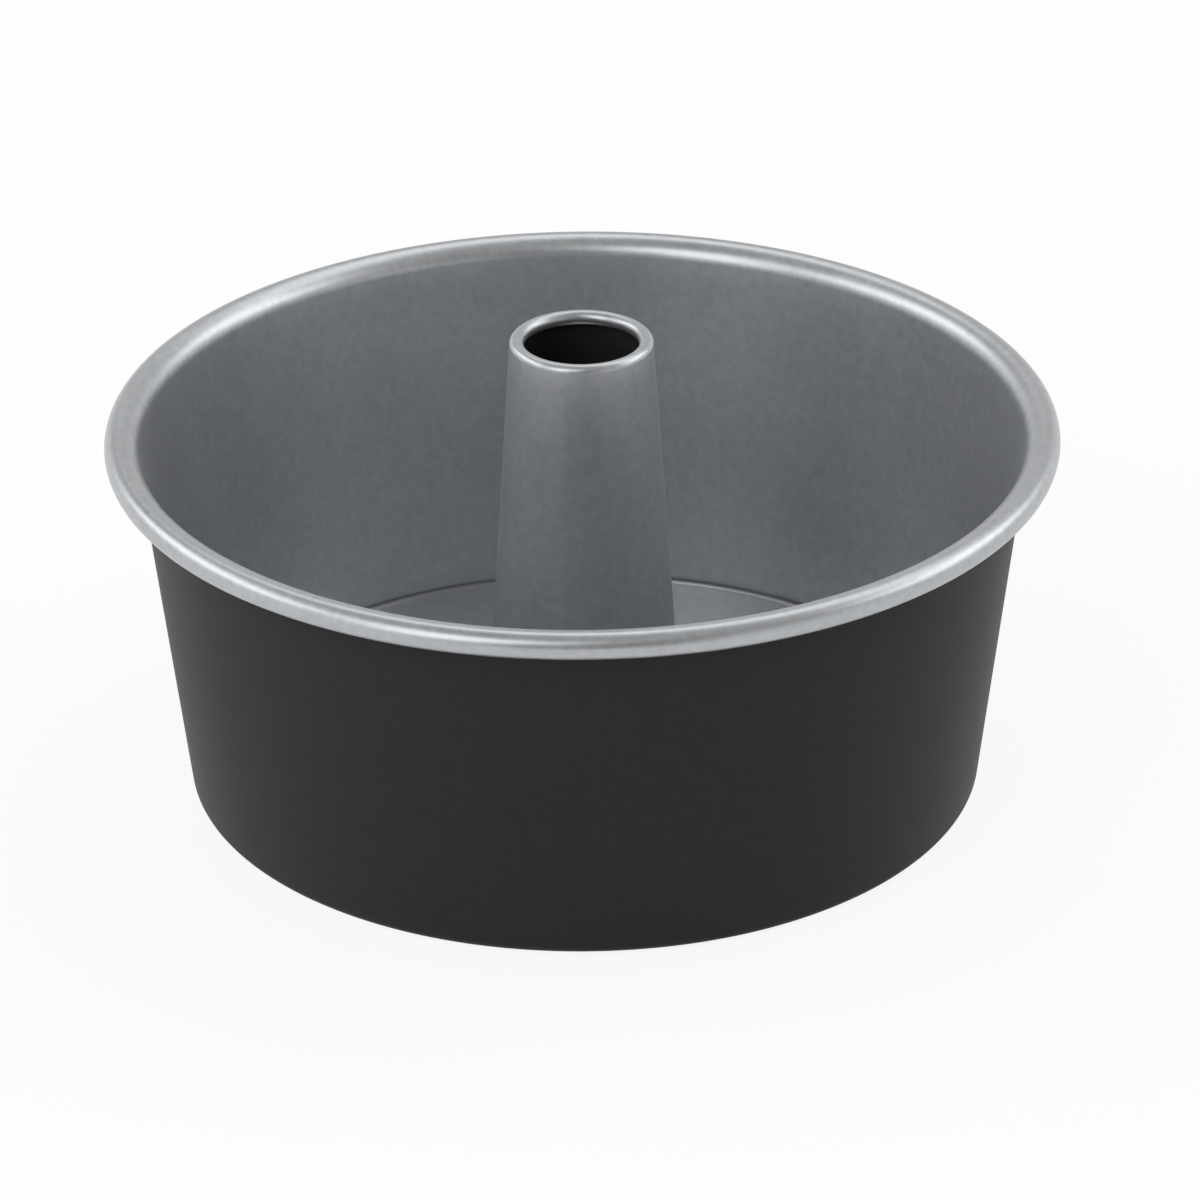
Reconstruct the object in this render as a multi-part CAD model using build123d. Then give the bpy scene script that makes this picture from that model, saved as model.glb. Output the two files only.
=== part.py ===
from build123d import *
from math import cos, radians, sin, tan
import os

# Two-piece angel food cake pan: a tapered steel ring with a rolled rim, and a lift-out base
# with a tall centre tube. Each piece is pressed from one sheet and is round about +Z, so each
# is drawn as the path of one face of its sheet, with the metal on the left of the path. On a
# path, the first coordinate is the distance from the pan's axis and the second is the height.
# The origin is on the table, under the middle of the pan.
# Lengths are in millimetres and angles in degrees.

# Shell: the outer ring
rim_diameter = 248.0          # across the outside of the rolled rim
rim_height = 100.0            # table to the top of the rim
shell_sheet = 0.8             # thickness of the shell's sheet
wall_draft = 6.9              # lean of the wall from upright, so that a cake slides out
roll_inner_radius = 2.75      # hollow inside the rolled rim
roll_sweep = 255.0            # turn of the roll, from the top of the rim to its cut edge
flare_radius = 4.8            # bend from wall to rim, on the outside of the wall
corner_inner_radius = 2.2     # bend from wall to ledge, on the cake's side
ledge_width = 10.5            # flat ring that the shell stands on and that carries the plate

# Base plate: the disc that lifts out
plate_sheet = 0.8             # thickness of the plate's sheet
plate_lip_height = 2.0        # ledge to the top of the plate: the height of its turned-down lip
plate_lip_bend = 0.4          # bend from plate to lip, on the underside
plate_edge_gap = 0.2          # lip to the place where the shell's corner starts to curve

# Centre tube, clinched to the base plate
tube_sheet = 0.8              # thickness of the tube's sheet
tube_height = 123.5           # table to the top of the tube's lip
tube_base_diameter = 52.8     # outside of the tube where it meets the plate
tube_taper = 3.7              # lean of the tube from upright
lip_inner_radius = 1.1        # hollow inside the curled lip
lip_sweep = 285.0             # turn of the lip, from the tube's outside to its cut edge
bead_inner_radius = 0.2       # hollow inside the bead that holds the plate from above
bead_seat = 0.5               # flat underside of the bead, where it lies on the plate
bead_bend = 0.5               # bend from the bead up into the tube
flange_reach = 4.5            # how far the flange runs out under the plate
seam_clearance = 0.05         # hole in the plate to the groove that holds it


def bend(line, radius, turn):
    """A bend that carries a straight on: to the left for a positive turn, else to the right."""
    return JernArc(line @ 1, line % 1, radius, turn)


def other_face(stretch, where, sheet):
    """The point of the sheet's other face, across from a place along a straight or a bend."""
    along = stretch % where
    return stretch @ where + Vector(-along.Y, along.X) * sheet


def pressed_ring(path, sheet, label):
    """A piece pressed from sheet, turned about the pan's axis from the path of its right face."""
    outline = list(path)
    for stretch in path:
        start, middle, end = (other_face(stretch, where, sheet) for where in (0, 0.5, 1))
        straight = stretch.geom_type == GeomType.LINE
        outline.append(Line(start, end) if straight else ThreePointArc(start, middle, end))
    outline.append(Line(path[0] @ 0, other_face(path[0], 0, sheet)))
    outline.append(Line(path[-1] @ 1, other_face(path[-1], 1, sheet)))
    ring = revolve(Plane.XZ * make_face(outline), Axis.Z)
    ring.label = label
    return ring


# Where the shell's wall starts and ends, and where its corner and its rim turn
draft = radians(wall_draft)
roll_centre_r = rim_diameter / 2 - shell_sheet - roll_inner_radius
flare_centre_z = rim_height - shell_sheet - flare_radius
wall_top_r = roll_centre_r - flare_radius * cos(draft)
wall_top_z = flare_centre_z + flare_radius * sin(draft)
corner_radius = corner_inner_radius + shell_sheet
wall_foot_z = corner_radius * (1 - sin(draft))
wall_foot_r = wall_top_r - (wall_top_z - wall_foot_z) * tan(draft)
corner_centre_r = wall_foot_r - corner_radius * cos(draft)
opening_radius = corner_centre_r - ledge_width

# Where the plate lies, with its lip on the ledge
plate_top = shell_sheet + plate_lip_height
plate_underside = plate_top - plate_sheet
plate_radius = corner_centre_r - plate_edge_gap
lip_face_r = plate_radius - plate_sheet

# Where the tube holds the plate: a groove as wide as the plate is thick, with a bead above it
taper = radians(tube_taper)
bead_radius = bead_inner_radius + tube_sheet
bead_top = plate_top + 2 * bead_radius
cone_foot_z = bead_top + bead_bend * (1 - sin(taper))
cone_foot_r = tube_base_diameter / 2 - (cone_foot_z - plate_top) * tan(taper)
bead_bend_r = cone_foot_r + bead_bend * cos(taper)
groove_radius = plate_sheet / 2
groove_centre_r = tube_base_diameter / 2 + groove_radius
bead_centre_r = groove_centre_r + bead_seat
hole_radius = groove_centre_r + seam_clearance
flange_radius = hole_radius + flange_reach

# Where the tube's lip curls inwards
lip_radius = lip_inner_radius + tube_sheet
cone_top_z = tube_height - lip_radius * (1 - sin(taper))
cone_top_r = tube_base_diameter / 2 - (cone_top_z - plate_top) * tan(taper)

# The shell, along its outside
ledge = Line((opening_radius, 0), (corner_centre_r, 0))
corner = bend(ledge, corner_radius, 90 - wall_draft)
wall = Line((wall_foot_r, wall_foot_z), (wall_top_r, wall_top_z))
flare = bend(wall, flare_radius, wall_draft - 90)
roll = bend(flare, roll_inner_radius, -roll_sweep)
outer_shell = pressed_ring([ledge, corner, wall, flare, roll], shell_sheet, "outer_shell")

# The base plate, along its underside
disc = Line((hole_radius, plate_underside), (lip_face_r - plate_lip_bend, plate_underside))
edge = bend(disc, plate_lip_bend, -90)
lip = Line(edge @ 1, (lip_face_r, shell_sheet))
base_plate = pressed_ring([disc, edge, lip], plate_sheet, "base_plate")

# The centre tube, along its outside
flange = Line((flange_radius, plate_underside), (groove_centre_r, plate_underside))
groove = bend(flange, groove_radius, -180)
seat = Line((groove_centre_r, plate_top), (bead_centre_r, plate_top))
bead = bend(seat, bead_radius, 180)
crown = Line((bead_centre_r, bead_top), (bead_bend_r, bead_top))
foot = bend(crown, bead_bend, tube_taper - 90)
cone = Line((cone_foot_r, cone_foot_z), (cone_top_r, cone_top_z))
curl = bend(cone, lip_radius, lip_sweep)
centre_tube = pressed_ring([flange, groove, seat, bead, crown, foot, cone, curl], tube_sheet, "centre_tube")

os.makedirs("parts", exist_ok=True)
for piece in (outer_shell, base_plate, centre_tube):
    export_step(piece, f"parts/{piece.label}.step")
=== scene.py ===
"""The looks of a two-piece angel food cake pan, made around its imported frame.

Each piece is pressed from one steel sheet and is round about the pan's axis. A piece starts as a
circle, which is extruded and scaled from station to station along the line of the sheet's silver
face, and is then given the sheet's thickness. The silver coating lies on that face and the charcoal
coating on the back of the sheet, so a roll or a curl carries each coating round with it, as on the
real pan. Lengths are in metres.
"""

from math import ceil, copysign, cos, pi, radians, sin, tan

import bpy
from bpy.props import FloatProperty, FloatVectorProperty, IntProperty, PointerProperty
from bpy.types import Operator, Panel, PropertyGroup
from mathutils import Matrix, Vector


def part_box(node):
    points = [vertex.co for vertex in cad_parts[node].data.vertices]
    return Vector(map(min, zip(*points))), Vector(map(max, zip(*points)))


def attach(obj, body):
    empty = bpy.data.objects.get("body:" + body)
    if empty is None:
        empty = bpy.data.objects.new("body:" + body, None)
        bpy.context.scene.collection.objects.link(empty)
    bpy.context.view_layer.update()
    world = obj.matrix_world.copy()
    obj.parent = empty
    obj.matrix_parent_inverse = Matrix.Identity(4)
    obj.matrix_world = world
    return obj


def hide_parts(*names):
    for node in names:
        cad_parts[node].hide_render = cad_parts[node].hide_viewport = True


bl_info = {
    "name": "Angel food cake pan",
    "version": (1, 0, 0),
    "blender": (4, 5, 0),
    "location": "View3D > Sidebar > Cake pan",
    "description": "Models and finishes a two-piece angel food cake pan around its packed frame",
    "category": "Object",
}

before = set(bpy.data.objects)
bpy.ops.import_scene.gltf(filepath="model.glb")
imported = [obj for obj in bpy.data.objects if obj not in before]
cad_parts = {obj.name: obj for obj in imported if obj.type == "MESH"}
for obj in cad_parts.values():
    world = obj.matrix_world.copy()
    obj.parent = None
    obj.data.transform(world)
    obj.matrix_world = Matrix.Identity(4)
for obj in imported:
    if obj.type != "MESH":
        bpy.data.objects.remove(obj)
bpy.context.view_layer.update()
shell_low, shell_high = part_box("outer_shell")
plate_low, plate_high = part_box("base_plate")
tube_low, tube_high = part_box("centre_tube")


def length(name, description, default):
    """A size in metres that a user may change."""
    return FloatProperty(name=name, description=description, default=default, min=0, unit="LENGTH", precision=5)


def angle(name, description, degrees):
    """An angle that a user may change."""
    return FloatProperty(name=name, description=description, default=radians(degrees), subtype="ANGLE")


def colour(name, description, default):
    """A colour that a user may change."""
    return FloatVectorProperty(name=name, description=description, default=default, subtype="COLOR",
                               min=0, max=1, size=3)


def share(name, description, default):
    """A number from 0 to 1 that a user may change."""
    return FloatProperty(name=name, description=description, default=default, min=0, max=1)


def level(name, description, default):
    """A lamp's brightness, where 1 is white."""
    return FloatProperty(name=name, description=description, default=default, min=0)


class ShellSizes(PropertyGroup):
    """Sizes of the outer shell."""
    rim_diameter: length("Rim diameter", "Across the outside of the rolled rim", shell_high.x - shell_low.x)
    rim_height: length("Rim height", "Table to the top of the rim", shell_high.z)
    sheet: length("Sheet", "Thickness of the steel sheet", 0.0008)
    wall_draft: angle("Wall draft", "Lean of the wall from upright", 6.9)
    roll_radius: length("Roll radius", "Outside of the hollow roll at the rim", 0.00355)
    roll_sweep: angle("Roll sweep", "Turn of the roll from the top of the rim to its cut edge", 255)
    flare_radius: length("Flare radius", "Bend from wall to rim, on the cake's side", 0.0056)
    corner_radius: length("Corner radius", "Bend from wall to ledge, on the cake's side", 0.0022)
    ledge_width: length("Ledge width", "Flat ring that carries the base plate", 0.0105)


class PlateSizes(PropertyGroup):
    """Sizes of the base plate."""
    diameter: length("Diameter", "Across the plate", plate_high.x - plate_low.x)
    top: length("Top", "Table to the top of the plate", plate_high.z)
    foot: length("Foot", "Table to the edge that stands on the ledge", plate_low.z)
    sheet: length("Sheet", "Thickness of the steel sheet", 0.0008)
    edge_radius: length("Edge radius", "Bend from the plate down into its edge, on the cake's side", 0.0012)


class TubeSizes(PropertyGroup):
    """Sizes of the centre tube and of the seam that holds it to the plate."""
    height: length("Height", "Table to the top of the lip", tube_high.z)
    flange_diameter: length("Flange diameter", "Across the flange under the plate", tube_high.x - tube_low.x)
    flange_reach: length("Flange reach", "Flange beyond the hole in the plate", 0.0045)
    base_diameter: length("Base diameter", "Outside of the tube where it meets the plate", 0.0528)
    sheet: length("Sheet", "Thickness of the steel sheet", 0.0008)
    taper: angle("Taper", "Lean of the tube from upright", 3.7)
    lip_radius: length("Lip radius", "Outside of the curled lip", 0.0019)
    lip_sweep: angle("Lip sweep", "Turn of the lip from the tube's outside to its cut edge", 285)
    bead_radius: length("Bead radius", "Outside of the bead that holds the plate from above", 0.001)
    bead_seat: length("Bead seat", "Flat underside of the bead", 0.0005)
    bead_bend: length("Bead bend", "Bend from the bead up into the tube", 0.0005)


class MeshSteps(PropertyGroup):
    """How finely the pieces are meshed."""
    shell_segments: IntProperty(name="Shell segments", description="Steps round the shell and the plate",
                                default=256, min=32)
    tube_segments: IntProperty(name="Tube segments", description="Steps round the tube", default=128, min=32)
    bend_step: angle("Bend step", "Largest turn between two stations of a bend", 9)
    edge_round: length("Edge round", "Rounding of the cut edges of the sheet", 0.00015)


class Finishes(PropertyGroup):
    """Colours and gloss of the coatings."""
    silver: colour("Silver", "Silver-grey non-stick coating on the cake's side", (0.45, 0.463, 0.478))
    silver_metallic: share("Silver metallic", "Share of metal flake in the silver coating", 0.8)
    silver_roughness: share("Silver roughness", "Roughness of the silver coating", 0.37)
    charcoal: colour("Charcoal", "Charcoal non-stick coating on the back of the sheet", (0.0235, 0.0245, 0.0255))
    charcoal_roughness: share("Charcoal roughness", "Roughness of the charcoal coating", 0.5)
    # Painted shade: how far the silver coating is painted darker in the shell's corner round the plate, where the
    # gap lies in shadow
    crevice_painted_shade: share("Crevice", "How dark the silver coating is in the shell's corner, round the plate", 0.4)
    steel: colour("Steel", "Bare steel at the cut edges", (0.55, 0.54, 0.52))


class Studio(PropertyGroup):
    """Floor and light."""
    floor_colour: colour("Floor", "Colour of the floor", (0.85, 0.85, 0.85))
    floor_white: share("Floor white", "How far the floor shows as plain white, which thins its shadow", 0.88)
    card_colour: colour("Card", "Colour of the card behind the camera", (0.08, 0.08, 0.08))
    wall_level: share("Wall level", "Brightness all round near the horizon", 0.85)
    ceiling_level: share("Ceiling level", "Brightness overhead", 0.37)
    left_level: level("Left softbox", "Brightness of the left softbox", 2.6)
    right_level: level("Right softbox", "Brightness of the right softbox", 2.6)
    front_level: level("Front softbox", "Brightness of the softbox at the front left", 2.6)
    back_level: level("Back softbox", "Brightness of the high softbox behind", 1.7)


class CakePan(PropertyGroup):
    """All that a user may change."""
    shell: PointerProperty(type=ShellSizes)
    plate: PointerProperty(type=PlateSizes)
    tube: PointerProperty(type=TubeSizes)
    steps: PointerProperty(type=MeshSteps)
    finishes: PointerProperty(type=Finishes)
    studio: PointerProperty(type=Studio)


class SheetLine:
    """One face of a sheet in section: stations, each a distance from the axis and a height."""

    def __init__(self, radius, height, heading, bend_step):
        self.stations = [Vector((radius, height))]
        self.heading = heading
        self.bend_step = bend_step

    def straight(self, distance, steps=1):
        """Carries on in a straight line."""
        start = self.stations[-1]
        along = Vector((cos(self.heading), sin(self.heading)))
        self.stations += [start + along * distance * (i + 1) / steps for i in range(steps)]

    def bend(self, radius, turn):
        """Bends to the left for a positive turn, else to the right."""
        side = copysign(radius, turn)
        centre = self.stations[-1] + Vector((-sin(self.heading), cos(self.heading))) * side
        steps = ceil(abs(turn) / self.bend_step)
        for i in range(steps):
            there = self.heading + turn * (i + 1) / steps
            self.stations.append(centre + Vector((sin(there), -cos(there))) * side)
        self.heading += turn


def pressed_ring(name, line, sheet, segments, metal_on_right, edge_round, materials):
    """A piece pressed from sheet: its silver face turned about the axis, then given its thickness."""
    bpy.ops.object.select_all(action="DESELECT")
    radius, height = line.stations[0]
    bpy.ops.mesh.primitive_circle_add(vertices=segments, radius=radius, location=(0, 0, height))
    bpy.ops.object.transform_apply(location=True)
    piece = bpy.context.object
    piece.name = piece.data.name = name
    bpy.ops.object.mode_set(mode="EDIT")
    bpy.ops.mesh.select_all(action="SELECT")
    for next_radius, next_height in line.stations[1:]:
        bpy.ops.mesh.extrude_edges_move(TRANSFORM_OT_translate={"value": (0, 0, next_height - height)})
        grown = next_radius / radius
        bpy.ops.transform.resize(value=(grown, grown, 1), center_override=(0, 0, next_height))
        radius, height = next_radius, next_height
    bpy.ops.mesh.select_all(action="SELECT")
    if metal_on_right:
        bpy.ops.mesh.flip_normals()
    bpy.ops.object.mode_set(mode="OBJECT")
    for material in materials:
        piece.data.materials.append(material)
    thicken = piece.modifiers.new("Sheet", "SOLIDIFY")
    thicken.thickness = sheet
    thicken.offset = -1
    thicken.use_even_offset = True
    thicken.material_offset = 1
    thicken.material_offset_rim = 2
    bpy.ops.object.modifier_apply(modifier=thicken.name)
    soften = piece.modifiers.new("Cut edges", "BEVEL")
    soften.width = edge_round
    soften.segments = 2
    soften.limit_method = "ANGLE"
    soften.angle_limit = radians(60)
    bpy.ops.object.modifier_apply(modifier=soften.name)
    bpy.ops.object.shade_smooth_by_angle(angle=radians(35))
    return piece


class Socket:
    """A node's output. Arithmetic on it adds Math nodes."""

    def __init__(self, maker, output):
        self.maker = maker
        self.output = output

    def math(self, operation, *values):
        return self.maker.node("ShaderNodeMath", {"operation": operation}, *values)

    def __add__(self, other):
        return self.math("ADD", self, other)

    def __radd__(self, other):
        return self.math("ADD", other, self)

    def __sub__(self, other):
        return self.math("SUBTRACT", self, other)

    def __rsub__(self, other):
        return self.math("SUBTRACT", other, self)

    def __mul__(self, other):
        return self.math("MULTIPLY", self, other)

    def __rmul__(self, other):
        return self.math("MULTIPLY", other, self)

    def __truediv__(self, other):
        return self.math("DIVIDE", self, other)


class Finish:
    """The nodes of a material or a world."""

    def __init__(self, owner):
        owner.use_nodes = True
        self.owner = owner
        self.nodes = owner.node_tree.nodes
        self.links = owner.node_tree.links
        self.nodes.clear()

    def node(self, kind, settings, *values, output=0, **named):
        """Adds a node with these settings, then its inputs' values or links, by place and by name."""
        made = self.nodes.new(kind)
        for key, value in settings.items():
            setattr(made, key, value)
        for key, value in [*enumerate(values), *named.items()]:
            socket = made.inputs[key.replace("_", " ") if isinstance(key, str) else key]
            if isinstance(value, Socket):
                self.links.new(value.output, socket)
            elif value is not None:
                socket.default_value = value
        return Socket(self, made.outputs[output]) if made.outputs else None

    def place(self):
        """Where a point lies on the object, in metres."""
        return self.node("ShaderNodeTexCoord", {}, output="Object")

    def noise(self, scale, detail=2.0):
        """Noise around 0.5, with lumps of about 1 / scale metres."""
        return self.node("ShaderNodeTexNoise", {}, Vector=self.place(), Scale=scale, Detail=detail)

    def mix(self, factor, first, second):
        """A colour between two."""
        ends = [end if isinstance(end, Socket) else (*end, 1) for end in (first, second)]
        return self.node("ShaderNodeMix", {"data_type": "RGBA"}, factor, None, None, None, None, None, *ends,
                         output=2)

    def ramp(self, value, start, end):
        """A smooth rise from 0 at one value to 1 at another."""
        return self.node("ShaderNodeMapRange", {"interpolation_type": "SMOOTHSTEP"}, value,
                         From_Min=start, From_Max=end)

    def bump(self, height, distance):
        """A normal for a height from 0 to 1 and how far that stands out, in metres."""
        return self.node("ShaderNodeBump", {}, Height=height, Distance=distance)

    def show(self, shader, kind="ShaderNodeOutputMaterial"):
        """Sends a shader to the output."""
        self.node(kind, {}, shader)
        return self.owner


# Lumps per metre of the fine grain, the mottle and the broad cloud in each coating
SILVER_LUMPS = (2200, 420, 30)
CHARCOAL_LUMPS = (1800, 300, 25)
BURR_LUMPS = 3000
# How far each coating's colour swings from its own, as a share of it
SILVER_SWING = 0.3
CHARCOAL_SWING = 0.32
BURR_SWING = 0.15
# How far each surface's relief stands out, in metres
SILVER_RELIEF = 0.00002
CHARCOAL_RELIEF = 0.000015
BURR_RELIEF = 0.00002
CHARCOAL_SPECULAR = 0.1
# The band in which the silver coating is painted darker, as painted shade in the shell's corner round the plate:
# outwards from the plate's edge, and down the bend
PAINTED_SHADE_START = plate_high.x + 0.0001
PAINTED_SHADE_FULL = plate_high.x + 0.0004
PAINTED_SHADE_TOP = 0.0033
PAINTED_SHADE_FULL_HEIGHT = 0.0027


def uneven_colour(coat, base, swing, grain, mottle, cloud):
    """The coating's colour, which swings about its base with the three sizes of lump."""
    return coat.mix(0.3 * grain + 0.5 * mottle + 0.2 * cloud, base * (1 - swing), base * (1 + swing))


def silver_nonstick(finishes):
    """Satin silver-grey non-stick: metal flake in a fine-grained coat that lies a little unevenly, with painted
    shade in the shell's corner round the plate.
    """
    coat = Finish(bpy.data.materials.new("silver_nonstick"))
    grain, mottle, cloud = (coat.noise(lumps) for lumps in SILVER_LUMPS)
    x, y, z = (coat.node("ShaderNodeSeparateXYZ", {}, coat.place(), output=axis) for axis in "XYZ")
    beyond_plate = coat.ramp(x * x + y * y, PAINTED_SHADE_START ** 2, PAINTED_SHADE_FULL ** 2)
    painted_corner_shade = beyond_plate * coat.ramp(z, PAINTED_SHADE_TOP, PAINTED_SHADE_FULL_HEIGHT)
    shade = uneven_colour(coat, Vector(finishes.silver), SILVER_SWING, grain, mottle, cloud)
    # Painted shade: the silver is darkened towards black in the shell's corner, standing in for the shadow in the
    # gap round the plate
    shade = coat.mix(finishes.crevice_painted_shade * painted_corner_shade, shade, (0, 0, 0))
    roughness = (finishes.silver_roughness + 0.08 * (cloud - 0.5)
                 + 0.08 * (mottle - 0.5) + 0.06 * (grain - 0.5))
    return coat.show(coat.node("ShaderNodeBsdfPrincipled", {}, Base_Color=shade, Roughness=roughness,
                               Metallic=finishes.silver_metallic,
                               Normal=coat.bump(0.4 * grain + 0.6 * mottle, SILVER_RELIEF)))


def charcoal_nonstick(finishes):
    """Satin charcoal non-stick on the back of the sheet."""
    coat = Finish(bpy.data.materials.new("charcoal_nonstick"))
    grain, mottle, cloud = (coat.noise(lumps) for lumps in CHARCOAL_LUMPS)
    shade = uneven_colour(coat, Vector(finishes.charcoal), CHARCOAL_SWING, grain, mottle, cloud)
    roughness = finishes.charcoal_roughness + 0.06 * (cloud - 0.5) + 0.08 * (mottle - 0.5)
    return coat.show(coat.node("ShaderNodeBsdfPrincipled", {}, Base_Color=shade, Roughness=roughness,
                               Specular_IOR_Level=CHARCOAL_SPECULAR,
                               Normal=coat.bump(0.5 * grain + 0.5 * mottle, CHARCOAL_RELIEF)))


def cut_steel(finishes):
    """Bare steel at the cut edges of the sheet."""
    metal = Finish(bpy.data.materials.new("cut_steel"))
    burr = metal.noise(BURR_LUMPS)
    base = Vector(finishes.steel)
    shade = metal.mix(burr, base * (1 - BURR_SWING), base)
    return metal.show(metal.node("ShaderNodeBsdfPrincipled", {}, Base_Color=shade, Roughness=0.3 + 0.2 * burr,
                                 Metallic=1.0, Normal=metal.bump(burr, BURR_RELIEF)))


def sheet_finishes(finishes):
    """The silver face, the charcoal back and the cut edges, made once."""
    makers = {"silver_nonstick": silver_nonstick, "charcoal_nonstick": charcoal_nonstick, "cut_steel": cut_steel}
    return [bpy.data.materials.get(name) or make(finishes) for name, make in makers.items()]


class CAKEPAN_OT_outer_shell(Operator):
    """Model the outer shell: ledge, corner, wall, flare and rolled rim"""
    bl_idname = "cakepan.outer_shell"
    bl_label = "Outer shell"

    def execute(self, context):
        pan = context.scene.cake_pan
        size = pan.shell
        upright = radians(90) - size.wall_draft
        wall_top_z = size.rim_height - size.flare_radius * (1 - sin(size.wall_draft))
        wall_foot_z = size.sheet + size.corner_radius * (1 - sin(size.wall_draft))
        wall_length = (wall_top_z - wall_foot_z) / cos(size.wall_draft)
        wall_top_r = size.rim_diameter / 2 - size.roll_radius - size.flare_radius * cos(size.wall_draft)
        wall_foot_r = wall_top_r - wall_length * sin(size.wall_draft)
        opening_radius = wall_foot_r - size.corner_radius * cos(size.wall_draft) - size.ledge_width
        line = SheetLine(opening_radius, size.sheet, 0, pan.steps.bend_step)
        line.straight(size.ledge_width, 4)
        line.bend(size.corner_radius, upright)
        line.straight(wall_length, 16)
        line.bend(size.flare_radius, -upright)
        line.bend(size.roll_radius, -size.roll_sweep)
        shell = pressed_ring("drawn_shell", line, size.sheet, pan.steps.shell_segments, True,
                             pan.steps.edge_round, sheet_finishes(pan.finishes))
        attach(shell, "shell")
        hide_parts("outer_shell")
        return {"FINISHED"}


class CAKEPAN_OT_base_plate(Operator):
    """Model the base plate: a disc with a hole for the tube and an edge turned down onto the ledge"""
    bl_idname = "cakepan.base_plate"
    bl_label = "Base plate"

    def execute(self, context):
        pan = context.scene.cake_pan
        size = pan.plate
        hole_radius = pan.tube.flange_diameter / 2 - pan.tube.flange_reach
        edge_start = size.diameter / 2 - size.edge_radius
        line = SheetLine(hole_radius, size.top, 0, pan.steps.bend_step)
        line.straight(edge_start - hole_radius, 24)
        line.bend(size.edge_radius, -radians(90))
        line.straight(size.top - size.edge_radius - size.foot)
        plate = pressed_ring("pressed_plate", line, size.sheet, pan.steps.shell_segments, True,
                             pan.steps.edge_round, sheet_finishes(pan.finishes))
        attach(plate, "insert")
        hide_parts("base_plate")
        return {"FINISHED"}


class CAKEPAN_OT_centre_tube(Operator):
    """Model the centre tube: clinched foot, tapered tube and lip curled inwards"""
    bl_idname = "cakepan.centre_tube"
    bl_label = "Centre tube"

    def execute(self, context):
        pan = context.scene.cake_pan
        size = pan.tube
        plate = pan.plate
        upright = radians(90) - size.taper
        underside = plate.top - plate.sheet
        groove_radius = plate.sheet / 2
        groove_centre_r = size.base_diameter / 2 + groove_radius
        bead_top = plate.top + 2 * size.bead_radius
        cone_foot_z = bead_top + size.bead_bend * (1 - sin(size.taper))
        cone_foot_r = size.base_diameter / 2 - (cone_foot_z - plate.top) * tan(size.taper)
        cone_top_z = size.height - size.lip_radius * (1 - sin(size.taper))
        crown = groove_centre_r + size.bead_seat - (cone_foot_r + size.bead_bend * cos(size.taper))
        line = SheetLine(size.flange_diameter / 2, underside, radians(180), pan.steps.bend_step)
        line.straight(size.flange_diameter / 2 - groove_centre_r, 3)
        line.bend(groove_radius, -radians(180))
        line.straight(size.bead_seat)
        line.bend(size.bead_radius, radians(180))
        line.straight(crown)
        line.bend(size.bead_bend, -upright)
        line.straight((cone_top_z - cone_foot_z) / cos(size.taper), 24)
        line.bend(size.lip_radius, size.lip_sweep)
        tube = pressed_ring("tapered_tube", line, size.sheet, pan.steps.tube_segments, False,
                            pan.steps.edge_round, sheet_finishes(pan.finishes))
        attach(tube, "insert")
        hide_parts("centre_tube")
        return {"FINISHED"}


CAMERA_PLACE = (0, -1.5246, 0.8242)
CAMERA_DIP = 0.4712
CAMERA_YAW = 0.0028
CAMERA_ROLL = -0.0076
CAMERA_LENS_MM = 195


def photo_camera():
    """The camera at the photograph's viewing angle."""
    camera = bpy.data.objects.new("camera", bpy.data.cameras.new("camera"))
    bpy.context.scene.collection.objects.link(camera)
    camera.data.lens = CAMERA_LENS_MM
    camera.data.sensor_width = 36
    forward = Vector((sin(CAMERA_YAW) * cos(CAMERA_DIP), cos(CAMERA_YAW) * cos(CAMERA_DIP), -sin(CAMERA_DIP)))
    across = forward.cross(Vector((0, 0, 1))).normalized()
    up = across.cross(forward)
    right = across * cos(CAMERA_ROLL) + up * sin(CAMERA_ROLL)
    up = right.cross(forward)
    turned = Matrix((right, up, -forward)).transposed().to_4x4()
    camera.matrix_world = Matrix.Translation(CAMERA_PLACE) @ turned
    bpy.context.scene.camera = camera


LAMP_DISTANCE = 3
# Each softbox: azimuth clockwise from the back and elevation, in degrees, then width and height
SOFTBOXES = {
    "left": (-79, 32, 3.3, 1.2),
    "right": (77, 33, 2.5, 1.3),
    "front": (-149, 34, 2.0, 2.0),
    "back": (23, 58, 3.6, 1.4),
}
CARD_SIZE = 2.4
CARD_PLACE = (0, -2.6, 1.2)
FLOOR_SIZE = 12
# Heights on the unit sphere between which the surroundings fade from walls to ceiling
FADE_LOW = 0.15
FADE_HIGH = 0.5


def softbox(name, azimuth, elevation, width, height, brightness):
    """A lamp turned to the pan, as bright as a white of this level."""
    out = Vector((sin(azimuth) * cos(elevation), cos(azimuth) * cos(elevation), sin(elevation)))
    bpy.ops.object.light_add(type="AREA", location=out * LAMP_DISTANCE,
                             rotation=out.to_track_quat("Z", "Y").to_euler())
    lamp = bpy.context.object
    lamp.name = name
    lamp.data.shape = "RECTANGLE"
    lamp.data.size = width
    lamp.data.size_y = height
    lamp.data.energy = pi * brightness * width * height
    lamp.visible_camera = False


def stage_sheet(name, size, location, rotation, material):
    """A flat sheet of the stage."""
    bpy.ops.mesh.primitive_plane_add(size=1, location=location, rotation=rotation)
    sheet = bpy.context.object
    sheet.name = name
    sheet.scale = size
    sheet.data.materials.append(material)
    return sheet


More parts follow.
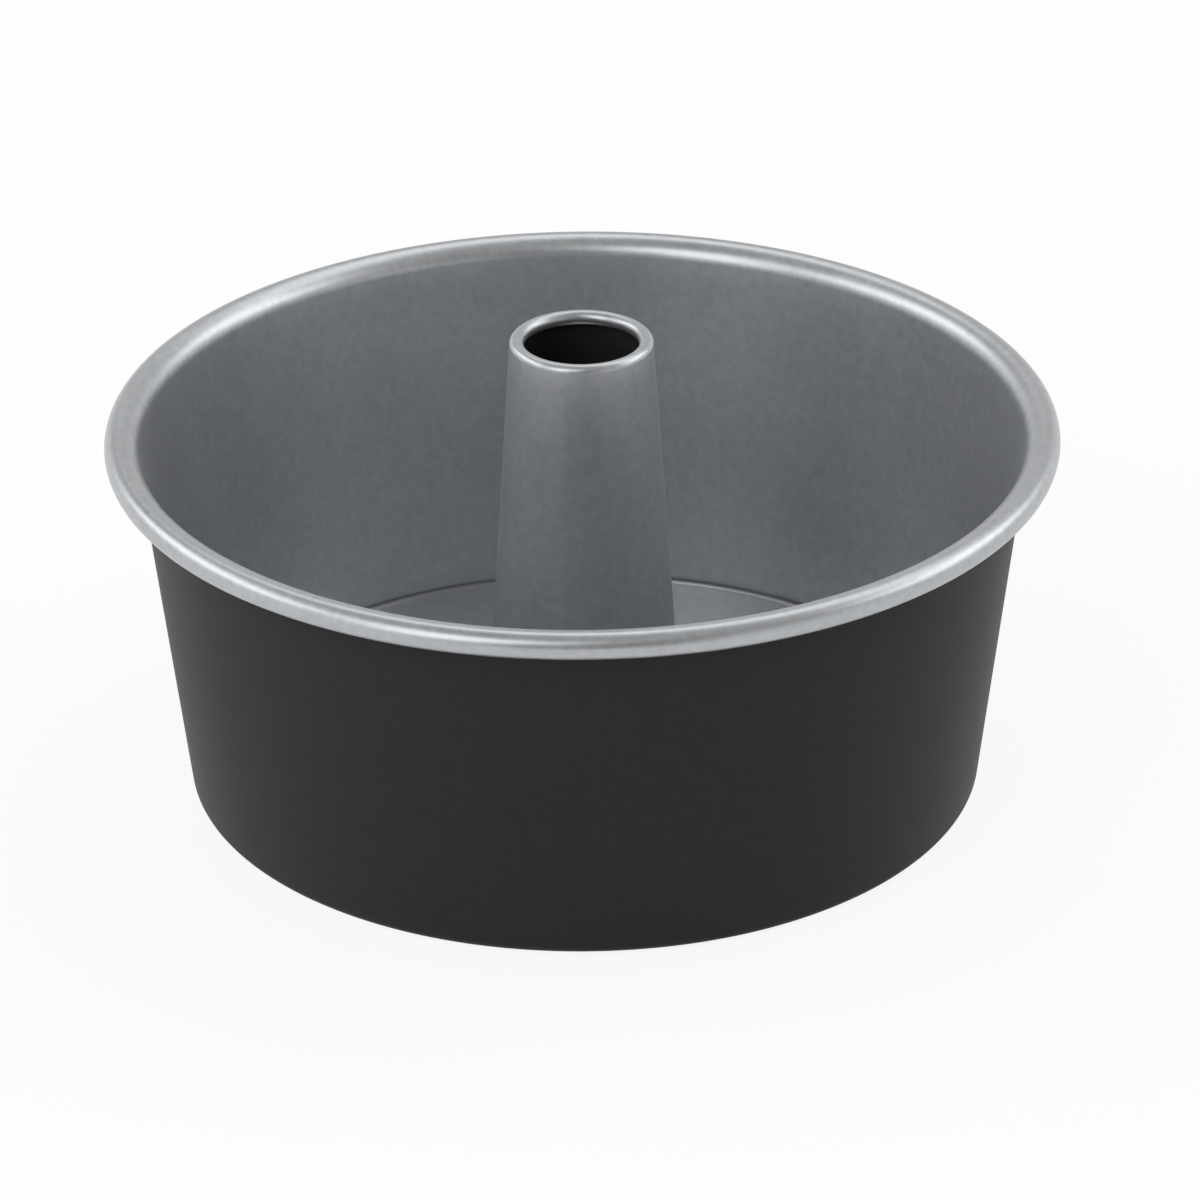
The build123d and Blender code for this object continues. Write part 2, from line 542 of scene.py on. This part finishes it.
class CAKEPAN_OT_studio(Operator):
    """Make the floor, the light and the camera"""
    bl_idname = "cakepan.studio"
    bl_label = "Studio"

    def execute(self, context):
        studio = context.scene.cake_pan.studio
        bpy.ops.object.select_all(action="DESELECT")
        paper = Finish(bpy.data.materials.new("floor_paper"))
        camera_ray, glossy_ray, clear_ray = (paper.node("ShaderNodeLightPath", {}, output=kind)
                                             for kind in ("Is Camera Ray", "Is Glossy Ray", "Is Transmission Ray"))
        plain = paper.node("ShaderNodeBsdfDiffuse", {}, (*studio.floor_colour, 1))
        white = paper.node("ShaderNodeEmission", {}, (1, 1, 1, 1), 1.0)
        paper.show(paper.node("ShaderNodeMixShader", {}, studio.floor_white * (camera_ray + glossy_ray + clear_ray),
                              plain, white))
        stage_sheet("floor", (FLOOR_SIZE, FLOOR_SIZE, 1), (0, 0, 0), (0, 0, 0), paper.owner)
        cloth = Finish(bpy.data.materials.new("card_cloth"))
        cloth.show(cloth.node("ShaderNodeBsdfDiffuse", {}, (*studio.card_colour, 1)))
        card = stage_sheet("card", (CARD_SIZE, CARD_SIZE, 1), CARD_PLACE, (radians(90), 0, 0), cloth.owner)
        card.visible_camera = False
        for name, (azimuth, elevation, width, height) in SOFTBOXES.items():
            softbox(f"softbox_{name}", radians(azimuth), radians(elevation), width, height,
                    getattr(studio, f"{name}_level"))
        sky = Finish(bpy.data.worlds.new("studio_walls"))
        direction = sky.node("ShaderNodeTexCoord", {}, output="Generated")
        up = sky.node("ShaderNodeSeparateXYZ", {}, direction, output="Z")
        brightness = sky.node("ShaderNodeMapRange", {"interpolation_type": "SMOOTHSTEP"}, up,
                              From_Min=FADE_LOW, From_Max=FADE_HIGH,
                              To_Min=studio.wall_level, To_Max=studio.ceiling_level)
        context.scene.world = sky.show(sky.node("ShaderNodeBackground", {}, (1, 1, 1, 1), brightness),
                                       "ShaderNodeOutputWorld")
        photo_camera()
        context.scene.view_settings.view_transform = "Standard"
        return {"FINISHED"}


class CAKEPAN_PT_panel(Panel):
    """The pan's steps and sizes"""
    bl_idname = "CAKEPAN_PT_panel"
    bl_label = "Cake pan"
    bl_space_type = "VIEW_3D"
    bl_region_type = "UI"
    bl_category = "Cake pan"

    def draw(self, context):
        pan = context.scene.cake_pan
        for step in STEPS:
            self.layout.operator(step.bl_idname)
        for group in (pan.shell, pan.plate, pan.tube, pan.steps, pan.finishes, pan.studio):
            box = self.layout.box()
            box.label(text=group.bl_rna.name)
            for name in group.__annotations__:
                box.prop(group, name)


SETTINGS = (ShellSizes, PlateSizes, TubeSizes, MeshSteps, Finishes, Studio, CakePan)
STEPS = (CAKEPAN_OT_outer_shell, CAKEPAN_OT_base_plate, CAKEPAN_OT_centre_tube, CAKEPAN_OT_studio)


def register():
    for made in (*SETTINGS, *STEPS, CAKEPAN_PT_panel):
        bpy.utils.register_class(made)
    bpy.types.Scene.cake_pan = PointerProperty(type=CakePan)


def unregister():
    del bpy.types.Scene.cake_pan
    for made in reversed((*SETTINGS, *STEPS, CAKEPAN_PT_panel)):
        bpy.utils.unregister_class(made)


def main():
    register()
    bpy.ops.cakepan.outer_shell()
    bpy.ops.cakepan.base_plate()
    bpy.ops.cakepan.centre_tube()
    bpy.ops.cakepan.studio()


if __name__ == "__main__":
    main()
